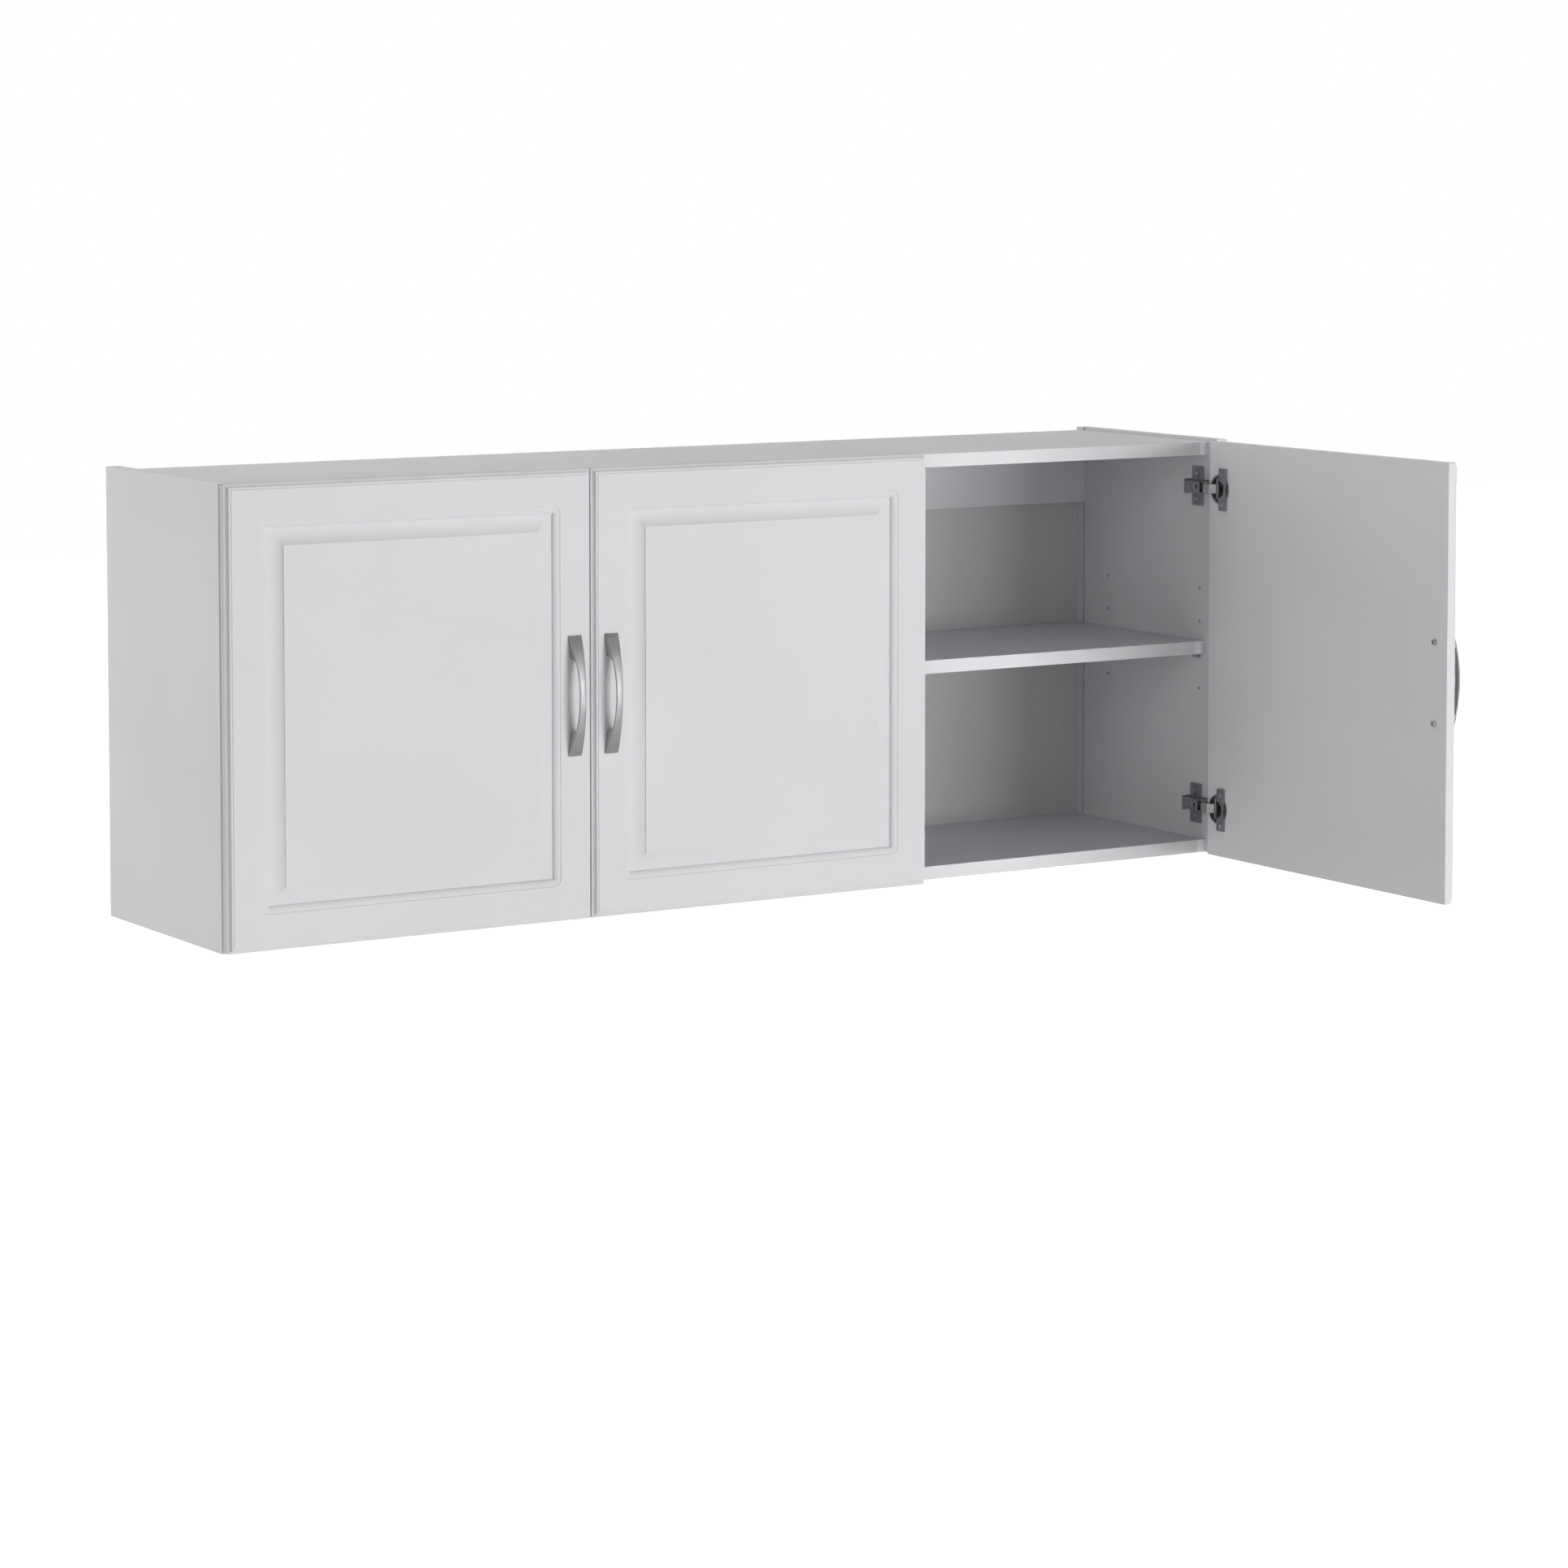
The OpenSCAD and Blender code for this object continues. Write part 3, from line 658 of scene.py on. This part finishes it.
def handle_levels():
    """Places of the stations along the handle: foot, hollow, strap, and the same mirrored."""
    half = HANDLE_L / 2
    foot = half - FOOT_L
    strap = foot - HOLLOW_L
    levels = [-half + i * (half - foot) / FOOT_STEPS for i in range(FOOT_STEPS + 1)]
    levels += [-foot + i * HOLLOW_L / HOLLOW_STEPS for i in range(1, HOLLOW_STEPS + 1)]
    levels += [-strap + i * strap / STRAP_STEPS for i in range(1, STRAP_STEPS + 1)]
    return levels + [-z for z in reversed(levels[:-1])]


print("handle stations:", len(handle_levels()))

# %% Cast the handle
CAST_EDGE_W = 0.4 * MM
CAST_EDGE_SEGMENTS = 3
CAST_EDGE_DEG = 35
HANDLE_CREASE_DEG = 30


def make_handle_mesh():
    """The handle in its own frame: its foot at y = 0 and its length along z."""
    rings = []
    for z in handle_levels():
        half_w, low, high = handle_station(z)
        shoulder = -high + CROWN
        # A parabola has fallen by a quarter of the crown at half of its width
        crest = -high + CROWN / 4
        rings.append([
            (half_w, -low, z), (half_w, shoulder, z), (half_w / 2, crest, z), (0, -high, z),
            (-half_w / 2, crest, z), (-half_w, shoulder, z), (-half_w, -low, z), (0, -low, z)])
    shaped = bmesh.new()
    add_rings(shaped, rings)
    mesh = bpy.data.meshes.new("handle")
    shaped.to_mesh(mesh)
    shaped.free()
    turn_out(mesh)
    source = bpy.data.objects.new("handle_source", mesh)
    bpy.context.scene.collection.objects.link(source)
    bevel = source.modifiers.new("edges", "BEVEL")
    bevel.width = CAST_EDGE_W
    bevel.segments = CAST_EDGE_SEGMENTS
    bevel.limit_method = "ANGLE"
    bevel.angle_limit = math.radians(CAST_EDGE_DEG)
    return bake_modifiers(source)


# %% Hang the handles
handle_mesh = make_handle_mesh()
for place in DOORS:
    low, high = (Vector(corner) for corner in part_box(f"handle_{place}"))
    to_door = door_matrix(place)
    middle = to_door.inverted() @ ((low + high) / 2)
    mesh = handle_mesh.copy()
    mesh.transform(to_door @ Matrix.Translation((middle.x, -DOOR_T, 0)))
    if place == "left":
        mesh.flip_normals()
    soften(mesh, HANDLE_CREASE_DEG)
    make_piece(f"bow_handle_{place}", mesh, "satin_nickel", f"door_{place}", [f"handle_{place}"])
print("handle triangles:", sum(len(p.vertices) - 2 for p in handle_mesh.polygons))

# %% [markdown]
# ## Screws from Geometry Nodes
#
# The same cross-head screw sits in many places at four sizes. Geometry Nodes draw it once from
# its sizes (a tapered head with a cross recess, and a shank) and put a copy on every point of a
# small mesh of places. Each point also carries the way that its head faces. The copies are made
# real at the end, and the result becomes a plain mesh, one for each family at each door.

# %% Shares of the screw's sizes
HEAD_SIDES = 28
SHANK_SIDES = 16
# The head is a straight rim below and a cone above. A recess is two crossed bars
RIM_SHARE = 0.5
CONE_TOP_SHARE = 0.72
BAR_WIDTH_SHARE = 0.22
BAR_MIDDLE_SHARE = 1.05
RECESS_SHARE = 1.15
# Sizes that are a share of a given size
SCREW_SHARES = {
    "Rim depth": ("Head height", RIM_SHARE),
    "Rim middle": ("Head height", RIM_SHARE / 2),
    "Cone depth": ("Head height", 1 - RIM_SHARE),
    "Cone foot": ("Head height", RIM_SHARE),
    "Cone top radius": ("Head radius", CONE_TOP_SHARE),
    "Bar width": ("Recess", BAR_WIDTH_SHARE),
    "Bar middle": ("Head height", BAR_MIDDLE_SHARE),
    "Shank middle": ("Shank length", -0.5),
}
print("sizes worked out in the screw tree:", len(SCREW_SHARES))


# %% Screw tree
def add_screw_shapes(tree, given):
    """The screw's simple shapes at their heights: rim, cone, two bars and shank."""
    sizes = {name: given[name] for name in ("Head radius", "Head height", "Recess")}
    for name, (source, share) in SCREW_SHARES.items():
        sizes[name] = add_node(tree, "ShaderNodeMath", {"operation": "MULTIPLY"},
                               {0: given[source], 1: share}).outputs[0]
    shapes = [
        (add_node(tree, "GeometryNodeMeshCylinder", inputs={
            "Vertices": HEAD_SIDES, "Radius": sizes["Head radius"],
            "Depth": sizes["Rim depth"]}), "Rim middle"),
        (add_node(tree, "GeometryNodeMeshCone", inputs={
            "Vertices": HEAD_SIDES, "Radius Top": sizes["Cone top radius"],
            "Radius Bottom": sizes["Head radius"], "Depth": sizes["Cone depth"]}), "Cone foot"),
    ]
    for x, y in (("Recess", "Bar width"), ("Bar width", "Recess")):
        extent = add_node(tree, "ShaderNodeCombineXYZ", inputs={
            "X": sizes[x], "Y": sizes[y], "Z": sizes["Head height"]})
        bar = add_node(tree, "GeometryNodeMeshCube", inputs={"Size": extent.outputs[0]})
        shapes.append((bar, "Bar middle"))
    shank = add_node(tree, "GeometryNodeMeshCylinder", inputs={
        "Vertices": SHANK_SIDES, "Radius": given["Shank radius"], "Depth": given["Shank length"]})
    shapes.append((shank, "Shank middle"))
    placed = []
    for shape, height in shapes:
        lift = add_node(tree, "ShaderNodeCombineXYZ", inputs={"Z": sizes[height]})
        placed.append(add_node(tree, "GeometryNodeTransform", inputs={
            "Geometry": shape.outputs["Mesh"], "Translation": lift.outputs[0]}).outputs[0])
    return placed


def make_screw_tree():
    """The tree that draws one screw and puts it on every point."""
    tree = bpy.data.node_groups.new("cross_head_screws", "GeometryNodeTree")
    tree.interface.new_socket("Geometry", in_out="INPUT", socket_type="NodeSocketGeometry")
    for name in ("Head radius", "Head height", "Shank radius", "Shank length", "Recess"):
        tree.interface.new_socket(name, in_out="INPUT", socket_type="NodeSocketFloat")
    tree.interface.new_socket("Material", in_out="INPUT", socket_type="NodeSocketMaterial")
    tree.interface.new_socket("Geometry", in_out="OUTPUT", socket_type="NodeSocketGeometry")
    given = tree.nodes.new("NodeGroupInput").outputs
    rim, cone, bar, crossing_bar, shank = add_screw_shapes(tree, given)
    head = add_node(tree, "GeometryNodeMeshBoolean", {"operation": "UNION", "solver": "EXACT"})
    for part in (rim, cone):
        tree.links.new(part, head.inputs["Mesh 2"])
    cut = add_node(tree, "GeometryNodeMeshBoolean", {"operation": "DIFFERENCE", "solver": "EXACT"},
                   {"Mesh 1": head.outputs["Mesh"]})
    for part in (bar, crossing_bar):
        tree.links.new(part, cut.inputs["Mesh 2"])
    whole = add_node(tree, "GeometryNodeJoinGeometry")
    for part in (cut.outputs["Mesh"], shank):
        tree.links.new(part, whole.inputs[0])
    facing = add_node(tree, "GeometryNodeInputNamedAttribute", {"data_type": "FLOAT_VECTOR"},
                      {"Name": "facing"})
    turned = add_node(tree, "FunctionNodeAlignRotationToVector", {"axis": "Z"},
                      {"Vector": facing.outputs["Attribute"]})
    placed = add_node(tree, "GeometryNodeInstanceOnPoints", inputs={
        "Points": given["Geometry"], "Instance": whole.outputs[0], "Rotation": turned.outputs[0]})
    real = add_node(tree, "GeometryNodeRealizeInstances", inputs={"Geometry": placed.outputs[0]})
    painted = add_node(tree, "GeometryNodeSetMaterial", inputs={
        "Geometry": real.outputs[0], "Material": given["Material"]})
    out = tree.nodes.new("NodeGroupOutput")
    tree.links.new(painted.outputs[0], out.inputs[0])
    return tree


screw_tree = make_screw_tree()
print("nodes in the screw tree:", len(screw_tree.nodes))

# %% Put the screws in
SCREW_CREASE_DEG = 30
# Size of each family of screws: head radius, head height, shank radius, shank length
SCREWS = {
    "handle_screws": (4.0 * MM, 2.2 * MM, 1.95 * MM, 24 * MM),
    "cup_screws": (3.2 * MM, 1.2 * MM, 1.55 * MM, 13.5 * MM),
    "plate_screws": (2.7 * MM, 1.0 * MM, 1.45 * MM, 13 * MM),
    "arm_screws": (3.2 * MM, 1.0 * MM, 1.55 * MM, 9 * MM),
}
# Which way a head faces: off the panel into the bay, or off the door's inner face
INTO_BAY = {"left": Vector((1, 0, 0)), "middle": Vector((-1, 0, 0)), "right": Vector((-1, 0, 0))}
OFF_DOOR = {"left": Vector((0, 1, 0)), "middle": Vector((0, 1, 0)), "right": Vector((-1, 0, 0))}


def screw_seats(node, facing, head_h):
    """Where each screw's head meets the surface, from the node's own solids."""
    seats = []
    for low, high in islands(node):
        middle = (low + high) / 2
        reach = Vector(abs(f) for f in facing).dot(high - low) / 2
        seats.append(middle + facing * (reach - head_h))
    return seats


def add_screws(node, body, facing, head_r, head_h, shank_r, shank_l):
    """One family of screws on one body, made by the tree and turned into a plain mesh."""
    seats = screw_seats(node, facing, head_h)
    points = bpy.data.meshes.new(node)
    points.from_pydata([tuple(seat) for seat in seats], [], [])
    way = points.attributes.new("facing", "FLOAT_VECTOR", "POINT")
    for item in way.data:
        item.vector = facing
    source = bpy.data.objects.new(f"{node}_source", points)
    bpy.context.scene.collection.objects.link(source)
    modifier = source.modifiers.new("screws", "NODES")
    modifier.node_group = screw_tree
    values = {"Head radius": head_r, "Head height": head_h, "Shank radius": shank_r,
              "Shank length": shank_l, "Recess": head_r * RECESS_SHARE,
              "Material": finishes["zinc_steel"]}
    for item in screw_tree.interface.items_tree:
        if item.in_out == "INPUT" and item.name in values:
            modifier[item.identifier] = values[item.name]
    mesh = bake_modifiers(source)
    soften(mesh, SCREW_CREASE_DEG)
    make_piece(f"cross_{node}", mesh, "zinc_steel", body, [node])
    return len(seats)


screw_count = 0
for place in DOORS:
    for family, sizes in SCREWS.items():
        on_door = family in ("handle_screws", "cup_screws")
        body = f"door_{place}" if on_door else "carcass"
        facing = OFF_DOOR[place] if on_door else INTO_BAY[place]
        screw_count += add_screws(f"{family}_{place}", body, facing, *sizes)
print("screws:", screw_count)

# %% [markdown]
# ## Studio floor and surroundings
#
# The cabinet hangs in a white studio. A pale floor lies well below it. For the camera the floor
# glows and the surroundings are pure white, so that nothing stands behind the cabinet but white.
# As light, the surroundings are much dimmer, and stronger from above, from the right and a
# little from the front, so that the faces differ in brightness.

# %% Floor
FLOOR_HALF = 14.0
FLOOR_Z = -1.2
FLOOR_CLOUD = (40, 3.0, EVEN)


def make_floor():
    """A wide pale floor that sends out light only towards the camera."""
    material = make_finish("matt_white_floor", shades=("FBFBFB", "FDFDFD"), cloud=FLOOR_CLOUD,
                           grain=None, rough=(0.9, 0.9), relief=None, ior=1.4)
    tree = material.node_tree
    shader = tree.nodes["Principled BSDF"]
    shader.inputs["Emission Color"].default_value = linear("FFFFFF")
    seen = add_node(tree, "ShaderNodeLightPath").outputs["Is Camera Ray"]
    tree.links.new(seen, shader.inputs["Emission Strength"])
    corners = [(FLOOR_HALF * x, FLOOR_HALF * y, 0) for x, y in ((-1, -1), (1, -1), (1, 1), (-1, 1))]
    mesh = bpy.data.meshes.new("floor")
    mesh.from_pydata(corners, [], [(0, 1, 2, 3)])
    floor = bpy.data.objects.new("floor", mesh)
    bpy.context.scene.collection.objects.link(floor)
    floor.location.z = FLOOR_Z
    mesh.materials.append(material)


make_floor()
print("floor:", 2 * FLOOR_HALF, "m wide at z =", FLOOR_Z)

# %% Surroundings
WORLD_LEVEL = 0.2
WORLD_TILT = (0.1, -0.05, 0.15)


def make_world(level, tilt):
    """White for the camera. As light, it is stronger from the way that tilt points."""
    world = bpy.data.worlds.new("white_studio")
    bpy.context.scene.world = world
    world.use_nodes = True
    tree = world.node_tree
    seen = tree.nodes["Background"]
    seen.inputs["Color"].default_value = linear("FFFFFF")
    way = add_node(tree, "ShaderNodeTexCoord").outputs["Generated"]
    along = add_node(tree, "ShaderNodeVectorMath", {"operation": "DOT_PRODUCT"}, {0: way, 1: tilt})
    glow = add_node(tree, "ShaderNodeMath", {"operation": "ADD"},
                    {0: along.outputs["Value"], 1: level})
    lighting = add_node(tree, "ShaderNodeBackground", inputs={"Strength": glow.outputs[0]})
    camera_ray = add_node(tree, "ShaderNodeLightPath").outputs["Is Camera Ray"]
    both = add_node(tree, "ShaderNodeMixShader", inputs={
        0: camera_ray, 1: lighting.outputs[0], 2: seen.outputs[0]})
    tree.links.new(both.outputs[0], tree.nodes["World Output"].inputs["Surface"])


make_world(WORLD_LEVEL, WORLD_TILT)
print("surroundings:", WORLD_LEVEL, "with tilt", WORLD_TILT)

# %% [markdown]
# ## Lamps
#
# A large softbox far in front and slightly to the right makes the closed doors the brightest
# faces and leaves the open door's inner face a step darker. One softbox above and behind, and
# one behind on the left, reach the top and the left side but not the doors' fronts. A fill from
# the left front lights the inside of the open bay. It would also wash out the mouldings, so it is
# screened off the two closed doors: Blender's light linking gives it a list of what it lights.

# %% Lights
# Each square lamp: its place, the spot it points at, its side in metres and its power in watts
LAMPS = {
    "front_softbox": ((4.0, -11.5, -1.0), (0.0, -0.3, 0.0), 5.0, 1320),
    "top_softbox": ((0.0, 1.2, 3.2), (0.0, -0.15, 0.26), 2.0, 34),
    "side_softbox": ((-2.2, 0.9, 0.3), (-0.69, -0.15, 0.0), 1.5, 14),
    "left_fill": ((-6.0, -5.0, 1.6), (0.3, -0.3, 0.0), 4.0, 84),
}
SCREENED_DOORS = ("moulded_door_left", "moulded_door_middle")


def add_lamp(name, place, target, side, power):
    """A square lamp that points at the target."""
    light = bpy.data.lights.new(name, "AREA")
    light.shape = "RECTANGLE"
    light.size = side
    light.size_y = side
    light.energy = power
    lamp = bpy.data.objects.new(name, light)
    bpy.context.scene.collection.objects.link(lamp)
    lamp.location = place
    lamp.rotation_euler = (Vector(target) - Vector(place)).to_track_quat("-Z", "Y").to_euler()
    return lamp


def screen_lamp(lamp, unlit):
    """The lamp lights every mesh in the scene except those named."""
    lit = bpy.data.collections.new(f"{lamp.name}_lights")
    for item in bpy.context.scene.objects:
        if item.type == "MESH" and item.name not in unlit:
            lit.objects.link(item)
    lamp.light_linking.receiver_collection = lit


lamps = {name: add_lamp(name, *values) for name, values in LAMPS.items()}
screen_lamp(lamps["left_fill"], SCREENED_DOORS)
bpy.context.scene.view_settings.view_transform = "Standard"
print("lamps:", list(lamps))

# %% [markdown]
# ## Camera
#
# The camera stands to the left, above and well back with a long lens, and looks slightly down. A
# vertical shift frames the cabinet without tilting the camera further, which keeps the upright
# edges nearly parallel.

# %% Camera
CAMERA_PLACE = (-2.8666, -4.9556, 0.6421)
YAW = math.radians(32.01)
PITCH = math.radians(4.13)
SENSOR_MM = 36
LENS_MM = 107.6
SHIFT = (-0.0024, -0.2)
camera_data = bpy.data.cameras.new("camera")
camera_data.sensor_width = SENSOR_MM
camera_data.lens = LENS_MM
camera_data.shift_x, camera_data.shift_y = SHIFT
camera = bpy.data.objects.new("camera", camera_data)
bpy.context.scene.collection.objects.link(camera)
camera.location = CAMERA_PLACE
camera.rotation_euler = Euler((math.pi / 2 - PITCH, 0, -YAW))
bpy.context.scene.camera = camera
print("camera:", CAMERA_PLACE, "lens:", LENS_MM, "mm")
